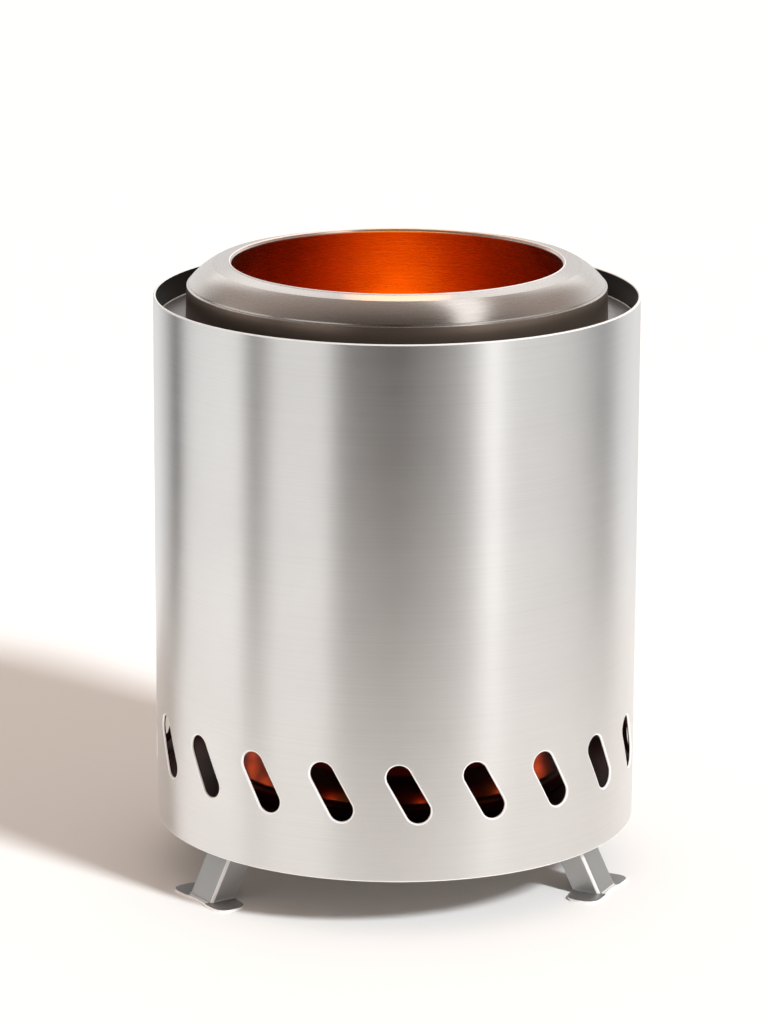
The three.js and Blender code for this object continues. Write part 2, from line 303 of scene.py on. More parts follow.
def revolve(skin, outline, steps, first=0.0, finish=plain):
    """Turns an outline of (radius, height) places and normals about the Z axis."""
    angles = [first + math.tau * (i % steps) / steps for i in range(steps + 1)]
    for (place, normal), (next_place, next_normal) in zip(outline, outline[1:]):
        rows = []
        for at, facing in ((place, normal), (next_place, next_normal)):
            rows.append([(around(at.x, at.y, a), around(facing.x, facing.y, a)) for a in angles])
        skin.grid(rows, finish((place + next_place) / 2, (normal + next_normal).normalized()))


def turned_piece(name, points, thickness, finish=plain):
    """A piece of bent sheet that is round about the drum's axis."""
    skin = Skin()
    revolve(skin, sheet_outline(points, thickness, BEND), TURN_STEPS, finish=finish)
    return skin.build(name)


class Piercing:
    """A ring of round-ended holes through the wall of a drum, in a band of its own."""

    def __init__(
            self, outer, sheet, count, first, height, half_run, radius, lean, reach, across, up,
            edge_finish=0, inner_finish=0):
        self.outer = outer
        self.sheet = sheet
        self.count = count
        self.first = first
        self.height = height
        self.half_run = half_run
        self.radius = radius
        self.spine = Vector((-math.sin(lean), math.cos(lean)))
        self.half_width = math.pi * outer / count
        self.half_height = reach
        self.across = across
        self.up = up
        self.edge_finish = edge_finish
        self.inner_finish = inner_finish

    def steps(self):
        return self.count * self.across

    def start(self):
        """The angle of the first column, on the border between two holes."""
        return self.first - math.pi / self.count

    def low(self):
        return self.height - self.half_height

    def high(self):
        return self.height + self.half_height

    def border(self):
        """Places round one hole's share of the band, in arc length and height from the hole's centre."""
        w, h = self.half_width, self.half_height
        corners = [Vector(c) for c in ((-w, -h), (w, -h), (w, h), (-w, h), (-w, -h))]
        places = []
        for i, (start, end) in enumerate(zip(corners, corners[1:])):
            steps = self.up if i % 2 else self.across
            places += [start.lerp(end, step / steps) for step in range(steps)]
        return places

    def cut(self, skin):
        """Both faces of the band and the walls of the holes."""
        spokes = []
        for border in self.border() + [self.border()[0]]:
            run = max(-self.half_run, min(self.half_run, border.dot(self.spine)))
            heart = self.spine * run
            spokes.append((border, heart, (border - heart).normalized()))
        inner = self.outer - self.sheet
        for hole in range(self.count):
            centre = self.first + math.tau * hole / self.count
            outside, mouth, bore = [], [], []
            for share in FACE_SHARES:
                outside.append([self.on_face(centre, spoke, share, self.outer, 1) for spoke in spokes])
            for step in range(ROUND_STEPS + 1):
                mouth.append([self.on_edge(centre, spoke, step / ROUND_STEPS, 1, CUT_EDGE) for spoke in spokes])
            bore.append(mouth[-1])
            for step in range(ROUND_STEPS, -1, -1):
                bore.append([self.on_edge(centre, spoke, step / ROUND_STEPS, -1, BORE_EDGE) for spoke in spokes])
            for share in reversed(FACE_SHARES):
                bore.append([self.on_face(centre, spoke, share, inner, -1) for spoke in spokes])
            skin.grid(outside)
            skin.grid(mouth, self.edge_finish)
            skin.grid(bore, self.inner_finish)

    def on_face(self, centre, spoke, share, radius, side):
        border, heart, way = spoke
        mouth = heart + way * (self.radius + (CUT_EDGE if side > 0 else BORE_EDGE))
        flat = mouth.lerp(border, share)
        angle = centre + flat.x / self.outer
        return around(radius, self.height + flat.y, angle), around(side, 0, angle)

    def on_edge(self, centre, spoke, share, side, edge):
        _, heart, way = spoke
        bend = share * math.pi / 2
        flat = heart + way * (self.radius + edge * (1 - math.sin(bend)))
        angle = centre + flat.x / self.outer
        face = self.outer if side > 0 else self.outer - self.sheet
        radius = face - side * edge * (1 - math.cos(bend))
        tangent = Vector((-math.sin(angle), math.cos(angle), 0))
        inwards = tangent * -way.x + Vector((0, 0, -way.y))
        normal = around(side, 0, angle) * math.cos(bend) + inwards * math.sin(bend)
        return around(radius, self.height + flat.y, angle), normal


def wall_strip(skin, piercing, outline, finish=plain):
    """The plain part of a pierced wall, with the band's columns."""
    revolve(skin, outline, piercing.steps(), piercing.start(), finish)


def outer_shell():
    # A painted highlight round the slots' mouths, and painted shade in their bores and on the band's inside
    piercing = Piercing(
        outer=DRUM_RADIUS, sheet=DRUM_SHEET, count=SLOT_COUNT, first=SLOT_FIRST, height=SLOT_CENTRE,
        half_run=SLOT_HALF_RUN, radius=SLOT_RADIUS, lean=SLOT_LEAN, reach=14, across=28, up=28,
        edge_finish=PAINTED_LIGHT_AND_SHADE, inner_finish=PAINTED_SHADE)
    skin = Skin()
    piercing.cut(skin)
    inner = DRUM_RADIUS - DRUM_SHEET
    for border, end in ((piercing.high(), RIM), (piercing.low(), DRUM_FOOT)):
        upwards = end > border
        side = DRUM_RADIUS if upwards else inner
        way = Vector((0, 1)) if upwards else Vector((0, -1))
        cap = end_cap(Vector((side, end)), way, DRUM_SHEET, RIM_EDGE)
        out, back = cap[0][1], cap[-1][1]
        other = inner if upwards else DRUM_RADIUS
        outline = [(Vector((side, border)), out)] + cap + [(Vector((other, border)), back)]
        wall_strip(skin, piercing, outline, drum_finish)
    return skin.build("drum_wall")


def drum_finish(place, normal):
    """Brushed outside and inside below the base's top, painted shade on the inside above it, and a painted highlight
    on the rounded ends.
    """
    if normal.x < -0.9:
        return PAINTED_SHADE if place.y > BASE_TOP else 0
    return PAINTED_LIGHT_AND_SHADE if abs(normal.y) > 0.1 else 0


def burn_chamber():
    wall = CHAMBER_BORE + SHEET
    piercing = Piercing(
        outer=wall, sheet=SHEET, count=JET_COUNT, first=math.pi / JET_COUNT, height=FLANGE - JET_DROP,
        half_run=0, radius=JET_RADIUS, lean=0, reach=7, across=12, up=10)
    skin = Skin()
    piercing.cut(skin)
    underside = FLANGE - SHEET
    lip = chamber_high.x - SHEET
    path = ((wall, piercing.high()), (wall, underside), (lip, underside), (lip, FLANGE - FLANGE_LIP))
    line = rounded(path, FLANGE_BEND)
    near = [(place, -left_of(way)) for place, way in line]
    far = [(place + left_of(way) * SHEET, left_of(way)) for place, way in reversed(line)]
    end, end_way = line[-1]
    wall_strip(skin, piercing, near[:-1] + end_cap(end, end_way, SHEET, EDGE) + far[1:])
    # The weld bead takes a painted highlight
    wall_strip(skin, piercing, bead_outline(Vector((chamber_high.x, FLANGE)) - WELD_SEAT, WELD_BEAD), painted_all_over)
    foot = Vector((CHAMBER_BORE, chamber_low.z))
    cap = end_cap(foot, Vector((0, -1)), SHEET, EDGE)
    inner = (Vector((CHAMBER_BORE, piercing.low())), cap[0][1])
    outer = (Vector((wall, piercing.low())), cap[-1][1])
    wall_strip(skin, piercing, [inner] + cap + [outer])
    return skin.build("chamber_can")


def base_plate():
    rim = base_high.x - SHEET
    underside = BASE_TOP - SHEET
    path = ((0, underside), (rim, underside), (rim, base_low.z))
    return turned_piece("base_pan", path, SHEET, finish=base_finish)


def base_finish(_place, normal):
    """Painted shade on top, in soot colour."""
    return PAINTED_LIGHT_AND_SHADE if normal.y > 0.5 else 0


def heat_shield():
    side = shield_high.x - SHEET
    underside = shield_high.z - SHEET
    # The whole tray takes painted shade, in soot colour
    return turned_piece("shield_tray", ((0, underside), (side, underside), (side, shield_low.z)), SHEET, finish=painted_all_over)


def chamber_floor():
    return turned_piece("floor_ring", ((FLOOR_HOLE, floor_low.z), (floor_high.x, floor_low.z)), SHEET)


def drilled(piece, cutters):
    """Cuts the cutters out of a piece, and removes them."""
    cutter = join(cutters)
    cut = piece.modifiers.new("holes", "BOOLEAN")
    cut.object = cutter
    cut.solver = "EXACT"
    depsgraph = bpy.context.evaluated_depsgraph_get()
    mesh = bpy.data.meshes.new_from_object(piece.evaluated_get(depsgraph))
    piece.modifiers.clear()
    piece.data = mesh
    bpy.data.objects.remove(cutter)
    mesh.shade_smooth()
    mesh.set_sharp_from_angle(angle=SHARP_TURN)
    return piece


def join(pieces):
    bpy.ops.object.select_all(action="DESELECT")
    for piece in pieces:
        piece.select_set(True)
    bpy.context.view_layer.objects.active = pieces[0]
    bpy.ops.object.join()
    return pieces[0]


def rod(radius, length, placing):
    """A round cutting tool along Z, centred on its placing."""
    skin = Skin()
    half = length / 2
    corners = ((0, -half), (radius, -half), (radius, half), (0, half))
    normals = ((0, -1), (1, 0), (1, 0), (0, 1))
    places = [Vector(c) for c in corners]
    facing = [Vector(n) for n in normals]
    revolve(skin, [(places[0], facing[0]), (places[1], facing[0])], SMALL_TURN_STEPS)
    revolve(skin, [(places[1], facing[1]), (places[2], facing[2])], SMALL_TURN_STEPS)
    revolve(skin, [(places[2], facing[3]), (places[3], facing[3])], SMALL_TURN_STEPS)
    tool = skin.build("tool", placing)
    weld(tool.data)
    return tool


def weld(mesh):
    """Joins corners that coincide, so that the mesh is one closed body."""
    shape = bmesh.new()
    shape.from_mesh(mesh)
    bmesh.ops.remove_doubles(shape, verts=shape.verts, dist=WELD * MM)
    shape.to_mesh(mesh)
    shape.free()


def at(radius, height, angle, tilt=0.0):
    """A placing at a radius and height, its X axis outwards, and its Z axis tilted outwards."""
    turn = Matrix.Rotation(angle, 4, "Z")
    shift = Matrix.Translation(Vector((radius, 0, height)) * MM)
    return turn @ shift @ Matrix.Rotation(tilt, 4, "Y")


def ash_pan():
    floor, flange = pan_low.z, pan_high.z - SHEET
    bottom = PAN_TOP_RADIUS - PAN_TAPER
    path = ((0, floor), (bottom, floor), (PAN_TOP_RADIUS, flange), (pan_high.x, flange))
    pan = turned_piece("pan_dish", path, SHEET)
    weld(pan.data)
    vents = []
    for i in range(VENT_COUNT):
        placing = at(PAN_TOP_RADIUS, flange - VENT_DROP, math.tau * i / VENT_COUNT, math.pi / 2)
        vents.append(rod(VENT_RADIUS, 4 * PAN_TAPER, placing))
    return drilled(pan, vents)


def fuel_grate():
    side, foot = grate_high.x, grate_low.z
    grate = turned_piece("grate_disc", ((0, foot), (side, foot), (side, grate_high.z)), GRATE_SHEET)
    weld(grate.data)
    holes = [rod(GRATE_HOLE_RADIUS, 4 * GRATE_SHEET, at(0, foot, 0))]
    for ring in range(1, GRATE_RINGS + 1):
        for i in range(6 * ring):
            placing = at(ring * GRATE_PITCH, foot, math.tau * i / (6 * ring))
            holes.append(rod(GRATE_HOLE_RADIUS, 4 * GRATE_SHEET, placing))
    return drilled(grate, holes)


def flame_ring():
    shoulder = RIM + BEVEL_FOOT_RISE - JOGGLE_DROP
    skirt = BEVEL_FOOT_RADIUS + JOGGLE_STEP
    flat_edge = Vector((RING_HOLE + RING_LIP + RING_FLAT, RING_TOP - RING_FALL))
    bevel_foot = Vector((BEVEL_FOOT_RADIUS, RIM + BEVEL_FOOT_RISE))
    chord = (flat_edge - bevel_foot).normalized()
    bulge = (bevel_foot + flat_edge) / 2 + Vector((chord.y, -chord.x)) * BEVEL_SWELL
    bevel = []
    for step in range(BEVEL_STEPS + 1):
        share = step / BEVEL_STEPS
        bevel.append(bevel_foot.lerp(bulge, share).lerp(bulge.lerp(flat_edge, share), share))
    path = [
        (skirt + SKIRT_SPREAD, ring_seat()),
        (skirt, shoulder - TREAD_FALL),
        (BEVEL_FOOT_RADIUS, shoulder),
        *bevel,
        (RING_HOLE + RING_LIP, RING_TOP),
        (RING_HOLE, RING_TOP - RING_LIP),
        (CHAMBER_BORE - COLLAR_PLAY - RING_SHEET, ring_low.z),
    ]
    skin = Skin()
    revolve(skin, sheet_outline(path, RING_SHEET, RING_BEND), TURN_STEPS, finish=ring_finish)
    # A painted highlight on the bead round the hole's lip
    bead = bead_outline(Vector((RING_HOLE + RING_LIP, RING_TOP)), RING_BEAD)
    revolve(skin, bead, TURN_STEPS, finish=painted_all_over)
    return skin.build("flame_ring_sheet")


def ring_finish(place, normal):
    """Painted shade on the skirt, which stands in the gutter."""
    on_skirt = place.x > BEVEL_FOOT_RADIUS - RING_SHEET and place.y < RIM + BEVEL_FOOT_RISE - JOGGLE_DROP
    return PAINTED_SHADE if on_skirt and normal.y < 0.3 else 0


def ring_seat():
    """The height of the skirt's foot, on the chamber's flange."""
    return FLANGE + SEAT_GAP


class Leg:
    """One folding leg as bent sheet, in its station: X outwards, Y along the drum, Z up."""

    ROWS = 4
    BEND_STEPS = 8
    FLANGE_STEPS = 8
    WEB_STEPS = 6
    FOOT_STEPS = 3

    def __init__(self):
        self.sine = math.sin(LEG_LEAN)
        self.cosine = math.cos(LEG_LEAN)
        self.pivot_height = BASE_TOP - SHEET - SEAT_GAP - CAM_RADIUS
        self.pivot_along = (self.pivot_height + LEG_DEPTH / 2 * self.sine) / self.cosine
        self.pivot = self.along(self.pivot_along, LEG_DEPTH / 2, 0)
        self.lug_radius = LEG_DEPTH / 2 - SHEET - SEAT_GAP

    def along(self, distance, inset, across):
        """A point so far up the leg's outer face, so far in behind it, and so far to the side."""
        x = LEG_FOOT_RADIUS - distance * self.sine - inset * self.cosine
        return Vector((x, across, distance * self.cosine - inset * self.sine))

    def reach(self, height, inset):
        return (height + inset * self.sine) / self.cosine

    def top(self, inset):
        """How far up the leg goes: level over the hinge, then round about it."""
        off = inset - LEG_DEPTH / 2
        level = self.reach(self.pivot_height + CAM_RADIUS, inset)
        if off < -CAM_RADIUS * self.sine:
            return level
        return self.pivot_along + math.sqrt(CAM_RADIUS ** 2 - off ** 2)

    def section(self):
        """Half of the channel's outer face in (inset, side), from a flange's inner edge to mid-web."""
        half = LEG_WIDTH / 2
        line = []
        for i in range(self.FLANGE_STEPS):
            share = i / self.FLANGE_STEPS
            line.append((LEG_DEPTH + (LEG_BEND - LEG_DEPTH) * share, half, "flange", share))
        for i in range(self.BEND_STEPS + 1):
            turn = i / self.BEND_STEPS * math.pi / 2
            inset = LEG_BEND - LEG_BEND * math.sin(turn)
            line.append((inset, half - LEG_BEND + LEG_BEND * math.cos(turn), "bend", i / self.BEND_STEPS))
        reach = half - LEG_BEND
        for i in range(self.WEB_STEPS):
            share = (i + 1) / self.WEB_STEPS
            line.append((0, reach * (1 - share), "web", share))
        return line

    def foot_edge(self, zone, share):
        """Where the foot's outline lies for a column of the channel, in plan."""
        inner = LEG_FOOT_RADIUS - LEG_DEPTH / self.cosine
        outer = LEG_FOOT_RADIUS + FOOT_LIP
        tip = LEG_WIDTH / 2 + EAR_LENGTH
        arc = EAR_ROUND * math.pi / 2
        straight = outer - inner - 2 * EAR_ROUND
        if zone == "flange":
            run = share * (2 * arc + straight)
            if run < arc:
                turn = run / EAR_ROUND
                return inner + EAR_ROUND * (1 - math.cos(turn)), tip - EAR_ROUND * (1 - math.sin(turn))
            if run < arc + straight:
                return inner + EAR_ROUND + run - arc, tip
            turn = (run - arc - straight) / EAR_ROUND
            return outer - EAR_ROUND * (1 - math.sin(turn)), tip - EAR_ROUND * (1 - math.cos(turn))
        half = LEG_WIDTH / 2
        if zone == "bend":
            side = tip - EAR_ROUND + (half - LEG_BEND - tip + EAR_ROUND) * share
            return self.lip_at(side)
        return self.lip_at((half - LEG_BEND) * (1 - share))

    def lip_at(self, side):
        """The lip's edge at a place along the web: it is waisted between the ears."""
        outer = LEG_FOOT_RADIUS + FOOT_LIP
        half = LEG_WIDTH / 2
        if side >= half:
            return outer, side
        waist = LEG_FOOT_RADIUS + FOOT_LIP_WAIST
        share = (1 - side / half) / 2
        bow = 4 * share * (1 - share)
        return outer * (1 - bow) + waist * bow, side

    def column(self, inset, side, zone, share):
        """The places down one column: the channel, the bend at the foot, and out to the foot's edge."""
        ground = self.along(self.reach(SHEET, inset), inset, side)
        up = Vector((-self.sine, 0, self.cosine))
        edge = Vector((*self.foot_edge(zone, share), SHEET))
        out = (edge - ground).normalized()
        bend = min(FOOT_BEND, 0.8 * (edge - ground).length)
        start = ground + up * bend
        end = ground + out * bend
        head = self.along(self.top(inset), inset, side)
        places = [head.lerp(start, i / self.ROWS) for i in range(self.ROWS)]
        for i in range(self.BEND_STEPS + 1):
            t = i / self.BEND_STEPS
            places.append(start.lerp(ground, t).lerp(ground.lerp(end, t), t))
        places += [end.lerp(edge, (i + 1) / self.FOOT_STEPS) for i in range(self.FOOT_STEPS)]
        return places

    def surface(self):
        """The outer face as a grid of columns."""
        half = [self.column(*station) for station in self.section()]
        mirrored = [[Vector((p.x, -p.y, p.z)) for p in column] for column in reversed(half[:-1])]
        return half + mirrored

    def build(self, name):
        outer = self.surface()
        normals = grid_normals(outer)
        inner = []
        for column, facing in zip(outer, normals):
            inner.append([place - normal * SHEET for place, normal in zip(column, facing)])
        for column in inner:
            column[-1].z = 0
        skin = Skin()
        columns = [list(zip(*pair)) for pair in zip(outer, normals)]
        zones = [(zone, share) for _, _, zone, share in self.section()]
        zones += list(reversed(zones[:-1]))
        lip = self.ROWS + self.BEND_STEPS // 2
        for i, pair in enumerate(zip(columns, columns[1:])):
            (zone, share), (other, other_share) = zones[i:i + 2]
            # A painted highlight along the middle of each bend, and painted light on the foot's lip in front of the
            # web
            painted_bend_highlight = zone == other == "bend" and 0.1 < (share + other_share) / 2 < 0.75
            skin.grid([column[:lip + 1] for column in pair], PAINTED_LIGHT_AND_SHADE if painted_bend_highlight else 0)
            skin.grid([column[lip:] for column in pair], PAINTED_LIGHT_AND_SHADE if "web" in (zone, other) else 0)
        skin.grid([[(p, -n) for p, n in zip(*pair)] for pair in zip(inner, normals)])
        for pick in (0, -1):
            edge_strip(skin, [column[pick] for column in outer], [column[pick] for column in inner])
            edge_strip(skin, outer[pick], inner[pick])
        return skin.build(name)


def grid_normals(columns):
    """Normals of a grid of places, from the differences between neighbours."""
    normals = []
    for i, column in enumerate(columns):
        facing = []
        before, after = columns[max(i - 1, 0)], columns[min(i + 1, len(columns) - 1)]
        for j in range(len(column)):
            across = after[j] - before[j]
            down = column[min(j + 1, len(column) - 1)] - column[max(j - 1, 0)]
            facing.append(across.cross(down).normalized())
        normals.append(facing)
    return normals


def edge_strip(skin, near, far):
    """The cut edge between a sheet's two faces, flat across and smooth along, with a painted highlight."""
    count = len(near)
    middle = sum(near, Vector()) / count
    pairs = []
    for i in range(count):
        along = near[min(i + 1, count - 1)] - near[max(i - 1, 0)]
        normal = along.cross(far[i] - near[i]).normalized()
        pairs.append((near[i], far[i], normal))
    swap = sum(1 if pair[2].dot(pair[0] - middle) > 0 else -1 for pair in pairs) < 0
    sign = -1 if swap else 1
    skin.grid([[(a, n * sign) for a, b, n in pairs], [(b, n * sign) for a, b, n in pairs]], PAINTED_LIGHT_AND_SHADE)


def headed(name, shank, head, head_height, low, high, placing):
    """A pin or rivet with domed heads, along Z from low to high between its heads."""
    outline = []
    for step in range(ROUND_STEPS * 2 + 1):
        turn = step / (ROUND_STEPS * 2) * math.pi / 2
        place = Vector((head * math.sin(turn), low - head_height * math.cos(turn)))
        outline.append((place, Vector((math.sin(turn) / head, -math.cos(turn) / head_height)).normalized()))
    flat = Vector((0, 1))
    shanks = [(Vector((head, low)), flat), (Vector((shank, low)), flat)]
    side = [(Vector((shank, low)), Vector((1, 0))), (Vector((shank, high)), Vector((1, 0)))]
    under = [(Vector((shank, high)), -flat), (Vector((head, high)), -flat)]
    crown = []
    for place, normal in reversed(outline):
        crown.append((Vector((place.x, high + low - place.y)), Vector((normal.x, -normal.y))))
    skin = Skin()
    for line in (outline, shanks, side, under, crown):
        revolve(skin, line, SMALL_TURN_STEPS)
    return skin.build(name, placing)


def station(azimuth):
    """The placing of a leg's station, from an azimuth counted from the front towards +X."""
    return Matrix.Rotation(azimuth - math.pi / 2, 4, "Z")


def leg_station(name, azimuth, steels):
    """One leg with its pin and rivets, and its finish on the CAD bracket."""
    leg = Leg()
    place = station(azimuth)
    channel = leg.build(f"{name}_leg_channel")
    channel.data.transform(place)
    dress(channel, f"{name}_leg", f"{name}_leg", "leg_steel", steels, ("painted_highlight",))
    half = LEG_WIDTH / 2 + SEAT_GAP
    seat = place @ Matrix.Translation(leg.pivot * MM) @ Matrix.Rotation(math.pi / 2, 4, "X")
    pin = headed(f"{name}_pin", PIN_RADIUS, PIN_HEAD_RADIUS, PIN_HEAD_HEIGHT, -half, half, seat)
    dress(pin, "drum", f"{name}_hinge_pin", "plain_steel", steels)
    for i in range(2):
        x = leg.pivot.x - leg.lug_radius - (i + 0.5) * BRACKET_TAB / 2
        hole = place @ Matrix.Translation(Vector((x, 0, BASE_TOP - SHEET)) * MM)
        low, high = -BRACKET_SHEET - 2 * SEAT_GAP, SHEET + SEAT_GAP
        rivet = headed(
            f"{name}_rivet_{i + 1}", RIVET_RADIUS, RIVET_HEAD_RADIUS, RIVET_HEAD_HEIGHT, low, high, hole)
        dress(rivet, "drum", f"{name}_bracket_rivet_{i + 1}", "plain_steel", steels)
    finish_node(f"{name}_leg_bracket", steels["plain_steel"])


def dress(piece, body, node, slot, steels, others=()):
    """Gives a piece its steels, its body and the CAD node that it stands for."""
    for name in (slot, *others):
        piece.data.materials.append(steels[name])
    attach(piece, body)
    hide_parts(node)


def finish_node(node, material):
    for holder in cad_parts[node].material_slots:
        holder.material = material


# Heat colours, and soot colours that also paint shade in the air room
HEAT_LIGHT = (0.36, 0.085, 0.014)
HEAT_DARK = (0.27, 0.052, 0.007)
SOOT_AND_SHADE_LIGHT = (0.085, 0.016, 0.008)
SOOT_AND_SHADE_DARK = (0.05, 0.009, 0.005)
HEAT_EDGE = 0.002
HEAT_TOP_EDGE = 0.0006

# Grain of the steels
NOISE_LOW = 0.3
NOISE_HIGH = 0.7
BLOTCH_SCALE = 30.0
GRAIN_RELIEF = 0.0002
QUARTER_TURN = 0.25


class Nodes:
    """Short calls for building a node tree."""

    def __init__(self, tree):
        self.tree = tree
        tree.nodes.clear()

    def add(self, kind, **settings):
        node = self.tree.nodes.new(kind)
        for key, value in settings.items():
            setattr(node, key, value)
        return node

    def link(self, source, target):
        self.tree.links.new(source, target)

    def math(self, operation, first, second=None):
        node = self.add("ShaderNodeMath", operation=operation)
        for socket, value in zip(node.inputs, (first, second)):
            if isinstance(value, (int, float)):
                socket.default_value = value
            elif value is not None:
                self.link(value, socket)
        return node.outputs[0]

    def noise(self, vector, scale, detail, roughness=0.5):
        node = self.add("ShaderNodeTexNoise")
        node.inputs["Scale"].default_value = scale
        node.inputs["Detail"].default_value = detail
        node.inputs["Roughness"].default_value = roughness
        self.link(vector, node.inputs["Vector"])
        return node.outputs["Fac"]

    def mapped(self, scale):
        """Object places with each axis scaled."""
        place = self.add("ShaderNodeTexCoord").outputs["Object"]
        mapping = self.add("ShaderNodeMapping")
        mapping.inputs["Scale"].default_value = scale
        self.link(place, mapping.inputs["Vector"])
        return mapping.outputs["Vector"]

    def spread(self, value, low, high, start=NOISE_LOW, end=NOISE_HIGH):
        """A value from low to high as another goes from start to end."""
        node = self.add("ShaderNodeMapRange")
        node.inputs["From Min"].default_value = start
        node.inputs["From Max"].default_value = end
        node.inputs["To Min"].default_value = low
        node.inputs["To Max"].default_value = high
        self.link(value, node.inputs["Value"])
        return node.outputs["Result"]

    def mix(self, share, first, second):
        node = self.add("ShaderNodeMix", data_type="RGBA")
        for socket, value in (("Factor", share), ("A", first), ("B", second)):
            self.link(value, node.inputs[socket])
        return node.outputs["Result"]

    def ramp(self, value, stops):
        node = self.add("ShaderNodeValToRGB")
        elements = node.color_ramp.elements
        while len(elements) < len(stops):
            elements.new(0.5)
        for element, (position, colour) in zip(elements, stops):
            element.position = position
            element.color = (*colour, 1)
        self.link(value, node.inputs["Fac"])
        return node.outputs["Color"]

    def tones(self, drift, dark, light):
        """A colour between two tones, from a noise."""
        return self.ramp(drift, ((NOISE_LOW, dark), (NOISE_HIGH, light)))


def heat_tint(nodes, colour, drift, inside, below, soot_and_shade_from, soot_and_shade_below):
    """Lays heat colours over steel inside a radius and below a height, in metres.

    Soot colour, which also paints the shade of the air room, takes their place beyond a second radius and below a
    second height.
    """
    parts = nodes.add("ShaderNodeSeparateXYZ")
    nodes.link(nodes.add("ShaderNodeTexCoord").outputs["Object"], parts.inputs["Vector"])
    across = nodes.math("MULTIPLY", parts.outputs["X"], parts.outputs["X"])
    along = nodes.math("MULTIPLY", parts.outputs["Y"], parts.outputs["Y"])
    radius = nodes.math("SQRT", nodes.math("ADD", across, along))
    inner = nodes.spread(radius, 1.0, 0.0, inside, inside + HEAT_EDGE)
    lower = nodes.spread(parts.outputs["Z"], 1.0, 0.0, below - HEAT_TOP_EDGE, below)
    heated = nodes.tones(drift, HEAT_DARK, HEAT_LIGHT)
    sooty_and_shaded = nodes.tones(drift, SOOT_AND_SHADE_DARK, SOOT_AND_SHADE_LIGHT)
    outside = nodes.math("GREATER_THAN", radius, soot_and_shade_from)
    beneath = nodes.math("LESS_THAN", parts.outputs["Z"], soot_and_shade_below)
    burnt_and_shaded = nodes.mix(nodes.math("MAXIMUM", outside, beneath), heated, sooty_and_shaded)
    return nodes.mix(nodes.math("MULTIPLY", inner, lower), colour, burnt_and_shaded)


def steel(name, light, dark, roughness, grain, bump, anisotropy=0.0, heat=None, metal=1.0, streaks=0.0):
    """Sheet steel: a colour that drifts between two tones, and a grain in its gloss, surface and colour."""
    material = bpy.data.materials.new(name)
    material.use_nodes = True
    nodes = Nodes(material.node_tree)
    shader = nodes.add("ShaderNodeBsdfPrincipled")
    output = nodes.add("ShaderNodeOutputMaterial")
    nodes.link(shader.outputs["BSDF"], output.inputs["Surface"])
    shader.inputs["Metallic"].default_value = metal
    drift = nodes.noise(nodes.mapped((1, 1, 1)), BLOTCH_SCALE, 3)
    colour = nodes.tones(drift, dark, light)
    if heat:
        colour = heat_tint(nodes, colour, drift, *heat)
    fine = nodes.noise(nodes.mapped(grain), 1.0, 5, 0.6)
    if streaks:
        streaked = nodes.add("ShaderNodeVectorMath", operation="SCALE")
        nodes.link(colour, streaked.inputs[0])
        nodes.link(nodes.spread(fine, 1 - streaks, 1 + streaks), streaked.inputs["Scale"])
        colour = streaked.outputs["Vector"]
    nodes.link(colour, shader.inputs["Base Color"])
    nodes.link(nodes.spread(fine, *roughness), shader.inputs["Roughness"])
    relief = nodes.add("ShaderNodeBump")
    relief.inputs["Strength"].default_value = bump
    relief.inputs["Distance"].default_value = GRAIN_RELIEF
    nodes.link(fine, relief.inputs["Height"])
    nodes.link(relief.outputs["Normal"], shader.inputs["Normal"])
    if anisotropy:
        shader.inputs["Anisotropic"].default_value = anisotropy
        shader.inputs["Anisotropic Rotation"].default_value = QUARTER_TURN
        tangent = nodes.add("ShaderNodeTangent", direction_type="RADIAL", axis="Z")
        nodes.link(tangent.outputs["Tangent"], shader.inputs["Tangent"])
    return material


